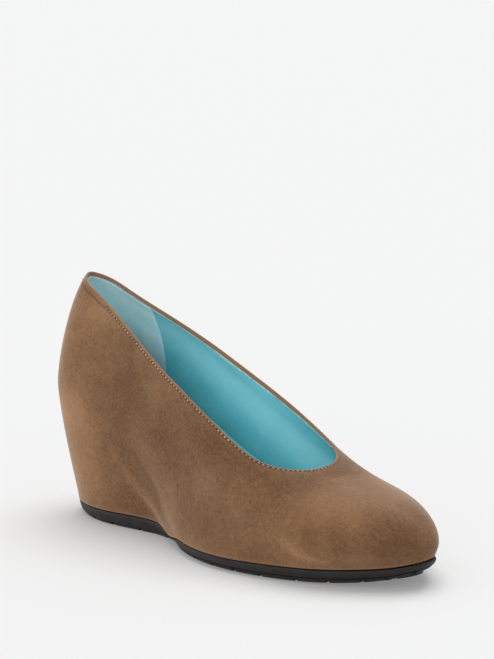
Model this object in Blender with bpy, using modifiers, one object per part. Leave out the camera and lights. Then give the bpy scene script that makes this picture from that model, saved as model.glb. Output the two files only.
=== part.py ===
"""A woman's right wedge pump: outsole, wedge, insole and a hollow upper, in metres, +Z up.

The shoe's own frame has x = 0 at the back of the heel, +X to the toe, +Y to the inner side
and z = 0 on the floor. An empty then moves it so that the origin is under its middle.
"""

import math

import bmesh
import bpy
import numpy as np

LENGTH = 0.239
MIDDLE = (0.1195, -0.0021)

# Widest line of the last and the ridge over it. Half widths are before the ends are rounded off.
LAST = {
    "columns": ("x", "lateral", "medial", "height", "ridge", "fullness"),
    "rows": (
        (0.000, 0.0295, 0.0255, 0.0728, 0.1438, 1.42),
        (0.015, 0.0302, 0.0273, 0.0703, 0.1350, 1.52),
        (0.045, 0.0306, 0.0300, 0.0653, 0.1221, 1.71),
        (0.070, 0.0299, 0.0296, 0.0607, 0.1190, 1.87),
        (0.085, 0.0313, 0.0294, 0.0568, 0.1171, 1.97),
        (0.100, 0.0328, 0.0298, 0.0512, 0.1110, 2.06),
        (0.115, 0.0352, 0.0316, 0.0441, 0.0996, 2.16),
        (0.145, 0.0397, 0.0374, 0.0325, 0.0702, 2.24),
        (0.170, 0.0408, 0.0402, 0.0280, 0.0498, 2.29),
        (0.195, 0.0378, 0.0387, 0.0238, 0.0414, 2.34),
        (0.220, 0.0290, 0.0319, 0.0190, 0.0390, 2.39),
        (0.239, 0.0214, 0.0259, 0.0182, 0.0370, 2.43),
    ),
}
# Lower edge of the upper, where it meets the rubber.
FEATHER = {
    "columns": ("x", "lateral", "medial"),
    "rows": (
        (0.008, 0.0199, 0.0224),
        (0.015, 0.0207, 0.0232),
        (0.045, 0.0241, 0.0260),
        (0.070, 0.0224, 0.0241),
        (0.085, 0.0237, 0.0239),
        (0.100, 0.0311, 0.0255),
        (0.115, 0.0388, 0.0282),
        (0.145, 0.0445, 0.0343),
        (0.170, 0.0411, 0.0385),
        (0.195, 0.0331, 0.0361),
        (0.220, 0.0230, 0.0290),
        (0.2375, 0.0165, 0.0230),
    ),
}
# Collar seen from the side, from above the heel to the throat.
COLLAR = {
    "columns": ("x", "height"),
    "rows": (
        (0.000, 0.1332),
        (0.043, 0.1128),
        (0.086, 0.0909),
        (0.1295, 0.0683),
        (0.159, 0.0525),
        (0.1726, 0.0483),
    ),
}
# Top of the footbed along its middle, and how far its sides rise over that.
FOOTBED = {
    "columns": ("x", "height", "side_rise"),
    "rows": (
        (0.000, 0.0672, 0.0030),
        (0.030, 0.0645, 0.0030),
        (0.060, 0.0565, 0.0025),
        (0.090, 0.0435, 0.0015),
        (0.120, 0.0290, 0.0008),
        (0.150, 0.0178, 0.0005),
        (0.175, 0.0132, 0.0004),
        (0.205, 0.0117, 0.0002),
        (0.239, 0.0112, 0.0000),
    ),
}
# Plan roundness of the heel and toe: how far in the rounding starts, and its power.
HEEL_ROUND = (0.028, 2.37)
TOE_ROUND = (0.0472, 2.24)
RIDGE_ROUND = (0.0232, 2.32)
FLARE_POWER = (1.25, 1.60)

FEATHER_HEIGHT = 0.0073
TOE_SPRING = 0.0050
SPRING_START = 0.172
TREAD_LIFT = 0.0030
TREAD_LIFT_START = 0.212
WAIST_X = 0.0955
WAIST_DIP = 0.0030
WAIST_ARCH = 0.0026
WAIST_HALF_LENGTH = 0.0125

FOOTBED_HALF_WIDTH = 0.028
HEEL_CUP = 0.0025
HEEL_CUP_END = 0.026

WALL = 0.0020
INSOLE_THICKNESS = 0.0022
GAP = 0.0003
SOLE_GAP = 0.0004
SIDE_ROOM = 0.0006
LIP = 0.0014

# Side of the rubber from its top edge down: share of its height, and how far it stands in.
SOLE_SIDE = {
    "columns": ("share", "inset"),
    "rows": (
        (1.00, 0.0003),
        (0.90, 0.0000),
        (0.46, 0.0006),
        (0.40, 0.0018),
        (0.34, 0.0014),
        (0.12, 0.0026),
        (0.00, 0.0040),
    ),
}
HEEL_BEVEL = 0.0022
HEEL_BEVEL_END = 0.040
GROOVE_WIDTH = 0.0018
GROOVE_DEPTH = 0.0019
GROOVES = (0.024, 0.0455, 0.064, 0.120, 0.134, 0.1477, 0.1633, 0.182, 0.1977, 0.213)
GROOVE_LENGTH = 0.12
GROOVE_SLANT = math.radians(6)

EVEN_STATIONS = 32
WAIST_STATIONS = (0.080, 0.112)
UPPER_ROWS = 15
WEDGE_ROWS = 5
ACROSS = 6
# Points along a rib before it is divided evenly: below the widest line, above it, and how
# much closer together the upper ones lie near that line.
FINE_BELOW, FINE_ABOVE, FINE_POWER = 16, 60, 2.2
# Rounds of working out a plan and a height that depend on each other.
SETTLE_ROUNDS = 12
HALVINGS = 40
SHARP_ANGLE = math.radians(40)
LATERAL, MEDIAL = -1, 1

SUEDE = ((0.235, 0.135, 0.078), 0.95)
RUBBER = ((0.018, 0.017, 0.017), 0.65)
CORK = ((0.330, 0.230, 0.140), 0.85)
TEAL = ((0.105, 0.360, 0.400), 0.55)


def smooth_curve(table, name):
    """A natural cubic spline through one column of a table, over its first column."""
    rows = np.array(table["rows"])
    xs, ys = rows[:, 0], rows[:, table["columns"].index(name)]
    step = np.diff(xs)
    slope = np.diff(ys) / step
    system = np.eye(len(xs))
    target = np.zeros(len(xs))
    for i in range(1, len(xs) - 1):
        system[i, i - 1 : i + 2] = step[i - 1], 2 * (step[i - 1] + step[i]), step[i]
        target[i] = 6 * (slope[i] - slope[i - 1])
    bend = np.linalg.solve(system, target)

    def value(x):
        i = np.clip(np.searchsorted(xs, x) - 1, 0, len(step) - 1)
        after, before, h = xs[i + 1] - x, x - xs[i], step[i]
        cubic = (bend[i] * after**3 + bend[i + 1] * before**3) / (6 * h)
        start = (ys[i] / h - bend[i] * h / 6) * after
        end = (ys[i + 1] / h - bend[i + 1] * h / 6) * before
        return cubic + start + end

    return value


GIRTH_WIDTH = {LATERAL: smooth_curve(LAST, "lateral"), MEDIAL: smooth_curve(LAST, "medial")}
GIRTH_HEIGHT = smooth_curve(LAST, "height")
RIDGE_HEIGHT = smooth_curve(LAST, "ridge")
FULLNESS = smooth_curve(LAST, "fullness")
FEATHER_WIDTH = {LATERAL: smooth_curve(FEATHER, "lateral"), MEDIAL: smooth_curve(FEATHER, "medial")}
COLLAR_HEIGHT = smooth_curve(COLLAR, "height")
FOOTBED_HEIGHT = smooth_curve(FOOTBED, "height")
FOOTBED_RISE = smooth_curve(FOOTBED, "side_rise")
FEATHER_START, FEATHER_END = FEATHER["rows"][0][0], FEATHER["rows"][-1][0]
THROAT = COLLAR["rows"][-1][0]


def rounded_ends(x, length, heel=HEEL_ROUND, toe=TOE_ROUND):
    """1 along the middle of a length, falling to 0 at both ends as round caps."""
    from_heel = np.clip(1 - x / heel[0], 0, 1)
    from_toe = np.clip(1 - (length - x) / toe[0], 0, 1)
    at_heel = np.clip(1 - from_heel ** heel[1], 0, 1) ** (1 / heel[1])
    at_toe = np.clip(1 - from_toe ** toe[1], 0, 1) ** (1 / toe[1])
    return at_heel * at_toe


def toe_spring(x):
    return TOE_SPRING * np.clip((x - SPRING_START) / (LENGTH - SPRING_START), 0, 1) ** 2


def waist(x):
    """A soft bump, 1 at the waist and 0 away from it."""
    return np.clip(1 - ((x - WAIST_X) / WAIST_HALF_LENGTH) ** 2, 0, 1) ** 2


def feather_height(x):
    return FEATHER_HEIGHT - WAIST_DIP * waist(x) + toe_spring(x)


def tread_height(x):
    lift = TREAD_LIFT * np.clip((x - TREAD_LIFT_START) / (LENGTH - TREAD_LIFT_START), 0, 1) ** 2
    return WAIST_ARCH * waist(x) + toe_spring(x) + lift


def dome_height(x):
    """How high the top of the last stands over its widest line."""
    return (RIDGE_HEIGHT(x) - GIRTH_HEIGHT(x)) * rounded_ends(x, LENGTH, heel=RIDGE_ROUND)


def girth_half_width(x, side):
    return GIRTH_WIDTH[side](x) * rounded_ends(x, LENGTH)


def dome_surface(x, y, side):
    """Height of the last's outside above its widest line."""
    full = FULLNESS(x)
    across = np.clip(np.abs(y) / np.maximum(girth_half_width(x, side), 1e-6), 0, 1)
    return GIRTH_HEIGHT(x) + dome_height(x) * (1 - across**full) ** (1 / full)


def collar_half_width(x, side):
    full = FULLNESS(x)
    rise = (COLLAR_HEIGHT(x) - GIRTH_HEIGHT(x)) / np.maximum(dome_height(x), 1e-6)
    return girth_half_width(x, side) * (1 - np.clip(rise, 0, 1) ** full) ** (1 / full)


def collar_back():
    """Where the back of the heel reaches the collar's height."""
    low, high = 0.0, RIDGE_ROUND[0]
    for _ in range(HALVINGS):
        middle = (low + high) / 2
        if GIRTH_HEIGHT(middle) + dome_height(middle) < COLLAR_HEIGHT(middle):
            low = middle
        else:
            high = middle
    return high


COLLAR_BACK = collar_back()


def rib_ends(share, side):
    """Plan points of one rib on the lower edge, the widest line and the collar."""
    along = (1 - math.cos(math.pi * share)) / 2
    run = FEATHER_END - FEATHER_START
    edge_x = FEATHER_START + run * along
    edge_y = FEATHER_WIDTH[side](edge_x) * rounded_ends(run * along, run)
    girth_x = LENGTH * along
    collar_x = COLLAR_BACK + (THROAT - COLLAR_BACK) * along
    edge = np.array((edge_x, side * edge_y))
    girth = np.array((girth_x, side * girth_half_width(girth_x, side)))
    collar = np.array((collar_x, side * collar_half_width(collar_x, side)))
    return edge, girth, collar


def lower_wall(share, side, height):
    """Plan point of the outside, at this height below the widest line."""
    edge, girth, _ = rib_ends(share, side)
    bottom = feather_height(edge[0])
    top = GIRTH_HEIGHT(girth[0])
    rise = np.clip((height - bottom - LIP) / (top - bottom - LIP), 0, 1)
    power = FLARE_POWER[0] + (FLARE_POWER[1] - FLARE_POWER[0]) * share
    return girth + (edge - girth) * (1 - rise) ** power


def rib(share, side, rows):
    """Points up the outside, from the lower edge over the widest line to the collar."""
    edge, girth, collar = rib_ends(share, side)
    bottom, top = feather_height(edge[0]), GIRTH_HEIGHT(girth[0])
    dense = []
    for height in np.linspace(bottom + LIP, top, FINE_BELOW):
        dense.append((*lower_wall(share, side, height), height))
    for step in np.linspace(0, 1, FINE_ABOVE)[1:] ** FINE_POWER:
        x, y = girth + (collar - girth) * step
        dense.append((x, y, float(dome_surface(x, y, side))))
    dense = np.array(dense)
    runs = np.append(0, np.cumsum(np.linalg.norm(np.diff(dense, axis=0), axis=1)))
    even = np.linspace(0, runs[-1], rows)
    points = np.stack([np.interp(even, runs, dense[:, axis]) for axis in range(3)], axis=-1)
    return np.vstack(((*edge, bottom), points))


def station_shares():
    """Shares from heel to toe, close together at both ends and at the waist."""
    shares = [i / EVEN_STATIONS for i in range(EVEN_STATIONS + 1)]
    for before, after in zip(shares[:-1], shares[1:]):
        middle = (before + after) / 2
        if WAIST_STATIONS[0] < rib_ends(middle, LATERAL)[0][0] < WAIST_STATIONS[1]:
            shares.append(middle)
    return sorted(shares)


SHARES = station_shares()
# Share along the foot and side of each column: lateral heel to toe, then medial back.
COLUMNS = [(share, LATERAL) for share in SHARES] + [(share, MEDIAL) for share in SHARES[-2:0:-1]]


def inset(ring, distance):
    """The plan ring moved in by a distance, or by one distance for each point."""
    run = np.roll(ring[:, :2], -1, axis=0) - np.roll(ring[:, :2], 1, axis=0)
    inward = np.stack((-run[:, 1], run[:, 0]), axis=-1)
    inward /= np.linalg.norm(inward, axis=1)[:, None]
    moved = ring.copy()
    moved[:, :2] += inward * np.broadcast_to(distance, len(ring))[:, None]
    return moved


def footbed_top(x, y):
    """Height of the footbed: cupped at the heel, nearly flat under the toes."""
    side_rise = FOOTBED_RISE(x) * (y / FOOTBED_HALF_WIDTH) ** 2
    back_rise = HEEL_CUP * np.clip(1 - x / HEEL_CUP_END, 0, 1) ** 2
    return FOOTBED_HEIGHT(x) + toe_spring(x) + side_rise + back_rise


def inside_ring(heights):
    """The wall's inside at one height for each column, with room to clear the wall."""
    outside, slopes = [], []
    for (share, side), height in zip(COLUMNS, heights):
        plan = lower_wall(share, side, height)
        lean = (lower_wall(share, side, height + LIP) - lower_wall(share, side, height - LIP)) / (2 * LIP)
        outside.append((*plan, height))
        slopes.append(math.hypot(1, *lean))
    return inset(np.array(outside), (WALL + SIDE_ROOM) * np.array(slopes))


def footbed_ring(below):
    """The edge of a surface at a depth below the footbed's top."""
    heights = np.full(len(COLUMNS), FEATHER_HEIGHT)
    for _ in range(SETTLE_ROUNDS):
        ring = inside_ring(heights)
        heights = footbed_top(ring[:, 0], ring[:, 1]) - below
    return inside_ring(heights)


def insole_ring():
    """The insole's upper edge, in far enough to clear the wall over its whole thickness."""
    upper, lower = footbed_ring(0), footbed_ring(INSOLE_THICKNESS)
    middle = (LENGTH / 2, 0)
    nearer = np.linalg.norm(lower[:, :2] - middle, axis=1) < np.linalg.norm(upper[:, :2] - middle, axis=1)
    ring = np.where(nearer[:, None], lower, upper)
    ring = inset(ring, GAP)
    ring[:, 2] = footbed_top(ring[:, 0], ring[:, 1])
    return ring


def new_object(name, mesh, colour, roughness, collection, parent):
    data = bpy.data.meshes.new(name)
    mesh.to_mesh(data)
    mesh.free()
    data.shade_smooth()
    data.set_sharp_from_angle(angle=SHARP_ANGLE)
    material = bpy.data.materials.new(name)
    material.use_nodes = True
    shader = material.node_tree.nodes["Principled BSDF"]
    shader.inputs["Base Color"].default_value = (*colour, 1)
    shader.inputs["Roughness"].default_value = roughness
    shader.inputs["Metallic"].default_value = 0
    data.materials.append(material)
    obj = bpy.data.objects.new(name, data)
    obj.parent = parent
    collection.objects.link(obj)
    return obj


def add_ring(mesh, ring):
    return [mesh.verts.new(point) for point in ring]


def join_rings(mesh, lower, upper):
    for i, corner in enumerate(lower):
        after = (i + 1) % len(lower)
        mesh.faces.new((corner, lower[after], upper[after], upper[i]))


def fill_across(mesh, ring, height, facing_up=True):
    """A sheet across a ring of columns, its inner points at a height that is a function."""
    count = len(ring)
    lines = [[ring[0]]]
    for i in range(1, len(SHARES) - 1):
        start, end = ring[i], ring[count - i]
        line = [start]
        for j in range(1, ACROSS):
            point = start.co.lerp(end.co, j / ACROSS)
            point.z = float(height(point.x, point.y))
            line.append(mesh.verts.new(point))
        lines.append(line + [end])
    lines.append([ring[len(SHARES) - 1]])
    for before, after in zip(lines, lines[1:]):
        for j in range(ACROSS):
            first = before[min(j, len(before) - 1)], before[min(j + 1, len(before) - 1)]
            second = after[min(j, len(after) - 1)], after[min(j + 1, len(after) - 1)]
            corners = list(dict.fromkeys((first[0], second[0], second[1], first[1])))
            mesh.faces.new(corners if facing_up else reversed(corners))


def make_upper(collection, parent):
    """The outside as one open sheet from the rubber to the collar, given its wall inwards."""
    mesh = bmesh.new()
    ribs = np.array([rib(share, side, UPPER_ROWS) for share, side in COLUMNS])
    rings = [add_ring(mesh, ribs[:, row]) for row in range(ribs.shape[1])]
    for lower, upper in zip(rings, rings[1:]):
        join_rings(mesh, lower, upper)
    obj = new_object("upper", mesh, *SUEDE, collection, parent)
    shell = obj.modifiers.new("wall", "SOLIDIFY")
    shell.thickness = WALL
    shell.offset = -1
    shell.use_even_offset = True
    shell.use_quality_normals = True


def make_insole(collection, parent):
    mesh = bmesh.new()
    ring = add_ring(mesh, insole_ring())
    fill_across(mesh, ring, footbed_top)
    obj = new_object("insole", mesh, *TEAL, collection, parent)
    board = obj.modifiers.new("board", "SOLIDIFY")
    board.thickness = INSOLE_THICKNESS
    board.offset = -1
    board.use_even_offset = True


def make_wedge(collection, parent):
    """The block between the rubber and the insole, inside the upper's wall."""
    mesh = bmesh.new()
    below = INSOLE_THICKNESS + GAP * 2
    top = footbed_ring(below)
    bottom = np.array([feather_height(rib_ends(share, side)[0][0]) + GAP for share, side in COLUMNS])
    rings = []
    for row in range(WEDGE_ROWS):
        rings.append(add_ring(mesh, inside_ring(bottom + (top[:, 2] - bottom) * row / WEDGE_ROWS)))
    rings.append(add_ring(mesh, top))
    for lower, upper in zip(rings, rings[1:]):
        join_rings(mesh, lower, upper)
    fill_across(mesh, rings[0], lambda x, y: feather_height(x) + GAP, facing_up=False)
    fill_across(mesh, rings[-1], lambda x, y: footbed_top(x, y) - below)
    new_object("wedge", mesh, *CORK, collection, parent)


def make_grooves(collection, parent):
    """Cutters for the grooves between the lugs."""
    for number, x in enumerate(GROOVES):
        mesh = bmesh.new()
        bmesh.ops.create_cube(mesh, size=1)
        bmesh.ops.scale(mesh, vec=(GROOVE_WIDTH, GROOVE_LENGTH, 2 * GROOVE_DEPTH), verts=mesh.verts)
        groove = new_object(f"groove_{number}", mesh, *RUBBER, collection, parent)
        groove.location = (x, 0, float(toe_spring(x)))
        groove.rotation_euler.z = GROOVE_SLANT
        groove.hide_render = True
        groove.display_type = "WIRE"


def make_outsole(collection, cutters, parent):
    """The rubber unit: a smooth band, a step, a tread with grooves, and an arched waist."""
    outline = np.array([rib_ends(share, side)[0] for share, side in COLUMNS])
    top = feather_height(outline[:, 0]) - SOLE_GAP
    bottom = tread_height(outline[:, 0])
    near_back = np.clip(1 - outline[:, 0] / HEEL_BEVEL_END, 0, 1)
    mesh = bmesh.new()
    rings = []
    for share, distance in reversed(SOLE_SIDE["rows"]):
        heights = bottom + (top - bottom) * share
        distances = distance + HEEL_BEVEL * near_back * (1 - share)
        ring = np.column_stack((outline, heights))
        rings.append(add_ring(mesh, inset(ring, distances)))
    for lower, upper in zip(rings, rings[1:]):
        join_rings(mesh, lower, upper)
    fill_across(mesh, rings[0], lambda x, y: tread_height(x), facing_up=False)
    fill_across(mesh, rings[-1], lambda x, y: feather_height(x) - SOLE_GAP)
    obj = new_object("outsole", mesh, *RUBBER, collection, parent)
    cut = obj.modifiers.new("grooves", "BOOLEAN")
    cut.operation = "DIFFERENCE"
    cut.operand_type = "COLLECTION"
    cut.collection = cutters


def main():
    for old in list(bpy.data.objects):
        bpy.data.objects.remove(old)
    shoe = bpy.data.collections.new("wedge_pump")
    cutters = bpy.data.collections.new("cutters")
    bpy.context.scene.collection.children.link(shoe)
    bpy.context.scene.collection.children.link(cutters)
    origin = bpy.data.objects.new("shoe_frame", None)
    origin.location = (-MIDDLE[0], -MIDDLE[1], 0)
    shoe.objects.link(origin)
    make_grooves(cutters, origin)
    make_outsole(shoe, cutters, origin)
    make_wedge(shoe, origin)
    make_insole(shoe, origin)
    make_upper(shoe, origin)


main()
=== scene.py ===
"""Looks of a woman's right wedge pump: suede over a wedge, leather lining, stitching and rubber sole.

Sizes are in metres. The shoe's own frame has x = 0 at the back of the heel, +X to the toe,
+Y to the inner side and z = 0 on the floor. MIDDLE is the point that lies under the frame's origin.
"""

import math

import bpy
import numpy as np
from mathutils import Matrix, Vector


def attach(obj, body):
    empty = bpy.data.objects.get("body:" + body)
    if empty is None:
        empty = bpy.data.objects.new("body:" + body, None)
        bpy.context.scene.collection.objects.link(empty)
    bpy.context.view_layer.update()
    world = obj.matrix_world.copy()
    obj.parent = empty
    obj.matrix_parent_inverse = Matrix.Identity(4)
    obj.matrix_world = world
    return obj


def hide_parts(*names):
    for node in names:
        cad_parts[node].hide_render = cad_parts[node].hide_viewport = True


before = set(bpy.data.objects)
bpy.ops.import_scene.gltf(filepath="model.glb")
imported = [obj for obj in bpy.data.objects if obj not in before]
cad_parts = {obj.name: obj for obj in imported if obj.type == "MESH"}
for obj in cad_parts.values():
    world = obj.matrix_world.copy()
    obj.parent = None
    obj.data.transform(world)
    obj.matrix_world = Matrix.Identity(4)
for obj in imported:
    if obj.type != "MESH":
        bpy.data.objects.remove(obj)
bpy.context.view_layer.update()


def table(columns, *rows):
    """Rows of sizes, with the names of their columns."""
    return {"columns": columns.split(), "rows": rows}


LENGTH = 0.239
MIDDLE = (0.1195, -0.0021)

# Widest line of the last and the ridge over it. Half widths are before the ends are rounded off.
LAST = table(
    "x lateral medial height ridge fullness",
    (0.000, 0.0295, 0.0255, 0.0728, 0.1438, 1.42),
    (0.015, 0.0302, 0.0273, 0.0703, 0.1350, 1.52),
    (0.045, 0.0306, 0.0300, 0.0653, 0.1221, 1.71),
    (0.070, 0.0299, 0.0296, 0.0607, 0.1190, 1.87),
    (0.085, 0.0313, 0.0294, 0.0568, 0.1171, 1.97),
    (0.100, 0.0328, 0.0298, 0.0512, 0.1110, 2.06),
    (0.115, 0.0352, 0.0316, 0.0441, 0.0996, 2.16),
    (0.145, 0.0397, 0.0374, 0.0325, 0.0702, 2.24),
    (0.170, 0.0408, 0.0402, 0.0280, 0.0498, 2.29),
    (0.195, 0.0378, 0.0387, 0.0238, 0.0414, 2.34),
    (0.220, 0.0290, 0.0319, 0.0190, 0.0390, 2.39),
    (0.239, 0.0214, 0.0259, 0.0182, 0.0370, 2.43),
)
# Lower edge of the upper, where it meets the rubber.
FEATHER = table(
    "x lateral medial",
    (0.008, 0.0199, 0.0224),
    (0.015, 0.0207, 0.0232),
    (0.045, 0.0241, 0.0260),
    (0.070, 0.0224, 0.0241),
    (0.085, 0.0237, 0.0239),
    (0.100, 0.0311, 0.0255),
    (0.115, 0.0388, 0.0282),
    (0.145, 0.0445, 0.0343),
    (0.170, 0.0411, 0.0385),
    (0.195, 0.0331, 0.0361),
    (0.220, 0.0230, 0.0290),
    (0.2375, 0.0165, 0.0230),
)
# Collar seen from the side, from above the heel to the throat.
COLLAR = table(
    "x height",
    (0.000, 0.1332),
    (0.043, 0.1128),
    (0.086, 0.0909),
    (0.1295, 0.0683),
    (0.159, 0.0525),
    (0.1726, 0.0483),
)
# Top of the footbed along its middle, and how far its sides rise over that.
FOOTBED = table(
    "x height side_rise",
    (0.000, 0.0672, 0.0030),
    (0.030, 0.0645, 0.0030),
    (0.060, 0.0565, 0.0025),
    (0.090, 0.0435, 0.0015),
    (0.120, 0.0290, 0.0008),
    (0.150, 0.0178, 0.0005),
    (0.175, 0.0132, 0.0004),
    (0.205, 0.0117, 0.0002),
    (0.239, 0.0112, 0.0000),
)
# How much higher the seam between suede and rubber runs than the seat of the sole.
SEAM_RISE = table(
    "x rise",
    (0.000, 0.0000),
    (0.040, 0.0000),
    (0.070, 0.0006),
    (0.088, 0.0002),
    (0.104, -0.0003),
    (0.125, -0.0005),
    (0.150, -0.0003),
    (0.172, 0.0003),
    (0.205, 0.0002),
    (0.220, 0.0002),
    (0.231, 0.0007),
    (0.239, 0.0020),
)
# Roundness of the heel and toe in plan, and of the ridge behind: how far in it starts, and its power.
HEEL_ROUND = (0.028, 2.37)
TOE_ROUND = (0.0472, 2.24)
RIDGE_ROUND = (0.0232, 2.32)
# How soon the wall goes over from its lower edge to its widest line, at the heel and at the toe.
FLARE_POWER = (1.25, 1.60)

# The rubber's seat, the lift of the toe, and the dip and the arch at the waist.
FEATHER_HEIGHT = 0.0073
TOE_SPRING = 0.0050
SPRING_START = 0.172
TREAD_LIFT = 0.0030
TREAD_LIFT_START = 0.212
WAIST_X = 0.0955
WAIST_DIP = 0.0030
WAIST_HALF_LENGTH = 0.0125
ARCH_X = 0.0970
ARCH_RISE = 0.0030
ARCH_HALF_LENGTH = 0.0105

FOOTBED_HALF_WIDTH = 0.028
HEEL_CUP = 0.0025
HEEL_CUP_END = 0.026
# Height over which the wall still stands straight above the rubber, and the rubber's gap to it.
LIP = 0.0014
SOLE_GAP = 0.0004

LATERAL, MEDIAL = -1, 1
SIDE_COLUMNS = 200
GRID_ROWS = 261
# Points of a rib below and above its widest line, and how they crowd towards that from above.
FINE_BELOW, FINE_ABOVE, FINE_POWER = 60, 200, 2.2
# Rounds of smoothing up and round the shoe, and how far a point then moves to its neighbours.
SMOOTH_ROWS, SMOOTH_COLUMNS = 60, 6
SMOOTH_SHARE = 0.25
HALVINGS = 40
# Rows that tell how steeply a rib meets the collar's edge, and the least cosine of that.
EDGE_ROWS, LEAST_SLANT = 5, 0.3

# The suede is two fold radii thick, and its inner face starts SUEDE_INNER below the collar's edge.
FOLD_RADIUS = 0.0007
FOLD_ANGLES = (0, 25, 50, 75, 100, 125, 150, 180)
SUEDE_INNER = 0.0030
SUEDE_RINGS, SUEDE_INNER_RINGS = 112, 14
# The suede's lower edge: where its outside starts, and the rings that round it, as shares of that.
SUEDE_LOWEST = 0.0006
SUEDE_LIP = table(
    "share depth",
    (0.0, 0.0004),
    (0.4, 0.0001),
)
# Distances below the collar's edge of the fine rings that carry the trough of the stitches.
NEAR_EDGE = (
    0.0009, 0.0011, 0.0013, 0.0015, 0.0018, 0.0021, 0.0024,
    0.0028, 0.0032, 0.0036, 0.0041, 0.0048, 0.0056,
)
# How pale the suede is made: rubbed wear along the rubber and below the collar's edge, rubbed wear and
# painted light on its fold, and both behind that.
RUBBED_LOW, RUBBED_LOW_HEIGHT = 0.7, 0.0013
RUBBED_NEAR_EDGE = 0.4
RUBBED_FOLD, FOLD_PAINTED_LIGHT_GAIN, WORN_AND_LIT_BEHIND_FOLD = 1.0, 0.2, 1.6
RUBBED_LIP = 0.3

# Depths of the lining's two faces under the outside, and where it starts and ends.
LINING_OUTER = 0.00145
LINING_INNER = 0.0022
LINING_TOP = 0.0019
LINING_BELOW_FOOTBED = 0.0030
# The lining's cut edge from its outer to its inner face, as distances past LINING_TOP and depths.
LINING_EDGE = table(
    "past_top depth",
    (0.0, LINING_OUTER),
    (-0.0002, LINING_OUTER + 0.0003),
    (-0.0001, LINING_INNER - 0.0002),
    (0.0002, LINING_INNER),
    (0.0008, LINING_INNER),
)
LINING_INNER_START = 0.0010
LINING_OUTER_SHARES = (1, 0.75, 0.5, 0.25, 0.08)
LINING_INNER_SHARES = (*np.linspace(0, 0.05, 5), *np.linspace(0.05, 1, 60)[1:])
# Band of painted light inside, below the collar: its middle at the heel and how that sinks forward.
LIT_BAND_MIDDLE, LIT_BAND_SINK = 0.014, 0.10
LIT_BAND_SINK_START, LIT_BAND_SINK_RUN = 0.06, 0.08
LIT_BAND_HALF_HEIGHT = 0.012
# Painted shade deep inside, where it starts under that band, and over what depth and length it grows.
PAINTED_SHADE_START, PAINTED_SHADE_RUN, PAINTED_SHADE_FADE = 0.008, 0.024, 0.05
# Painted shade of a fine crease above the middle of the band, and of the lining near the throat.
CREASE_SHADE, CREASE_ABOVE, CREASE_HALF_WIDTH = 0.25, 0.010, 0.003
THROAT_SHADE, THROAT_SHADE_START, THROAT_SHADE_RUN = 0.42, 0.130, 0.03

FOOTBED_DEPTH = 0.0023
FOOTBED_THICKNESS = 0.0020
SOCK_ACROSS = 22
# The sock's edge from below: how far it stands in, and how far it lies below the top.
SOCK_EDGE = table(
    "inset below",
    (0.0006, 0.0020),
    (0.0001, 0.0018),
    (0.0, 0.0006),
    (0.0003, 0.0002),
    (0.0009, 0.0),
)
# Slight dips under the heel and the ball of the foot.
SOCK_DIPS = table(
    "x half_length half_width depth",
    (0.030, 0.020, 0.018, 0.0007),
    (0.165, 0.024, 0.026, 0.0005),
)

STITCH_PITCH = 0.0025
STITCH_LENGTH = 0.0013
STITCH_RADIUS = 0.00032
STITCH_SIDES = 6
# A stitch takes its direction from the line this far before and after its middle.
STITCH_REACH = 0.0004
# Rings along a stitch, from -1 at one end to 1 at the other, where it thins and dives in.
STITCH_STEPS = np.array((-1, -0.8, -0.4, 0, 0.4, 0.8, 1))
STITCH_TAPER = 0.65
STITCH_LIFT, STITCH_DIVE = 0.0001, 0.0003
STITCH_TROUGH, STITCH_TROUGH_WIDTH = 0.0003, 0.0005
STITCH_ABOVE_TROUGH = 0.0002
# Threads behind this line, on the heel tab, are dark.
DARK_THREAD_END, DARK_THREAD_FADE = 0.040, 0.004
# How far the stitches lie below the collar's edge: wider on the heel tab, close to it in front.
STITCH_LINE = table(
    "share distance",
    (0.0, 0.0032),
    (0.25, 0.0032),
    (0.275, 0.0023),
    (0.36, 0.0019),
    (0.45, 0.0014),
    (1.0, 0.0013),
)
# Where the heel tab ends along the foot, how wide the mark there is, and how faint its seam.
TAB_END, TAB_END_WIDTH = 0.272, 0.004
TAB_FAINTNESS = 0.5
BACK_SEAM_DEPTH, BACK_SEAM_WIDTH, BACK_SEAM_REACH = 0.0003, 0.0006, 0.02
BACK_SEAM_FRONT, BACK_SEAM_TOP = 0.012, 0.1235
BACK_SEAM_FRONT_FADE, BACK_SEAM_TOP_FADE = 0.004, 0.001

# Paths of the suede's soft folds on the outer side, as (x, height) points.
WAIST_DENT = ((0.050, 0.053), (0.062, 0.046), (0.071, 0.042), (0.080, 0.034), (0.086, 0.026), (0.091, 0.012))
WAIST_RIDGE = ((0.060, 0.036), (0.070, 0.0265), (0.078, 0.0200), (0.086, 0.0125), (0.094, 0.005))
BALL_RIDGE = ((0.095, 0.022), (0.103, 0.015), (0.113, 0.009))
TOE_RIDGE = ((0.180, 0.022), (0.187, 0.0175), (0.194, 0.0140), (0.204, 0.0125))
# How far each fold stands out, its width, and how much paler (+) or darker (-) it is painted: painted light
# on the ridges and painted shade in the dent.
FOLDS = table(
    "path rise width tone",
    (WAIST_DENT, -0.0002, 0.0026, -0.6),
    (WAIST_RIDGE, 0.0009, 0.0034, 0.7),
    (BALL_RIDGE, 0.0004, 0.0030, 0.3),
    (TOE_RIDGE, 0.0005, 0.0030, 0.8),
)
# How near its ends a fold's fading stops, as a share of its path, and the power of the fade.
FOLD_ENDS, FOLD_FADE = 0.02, 0.6
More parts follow.
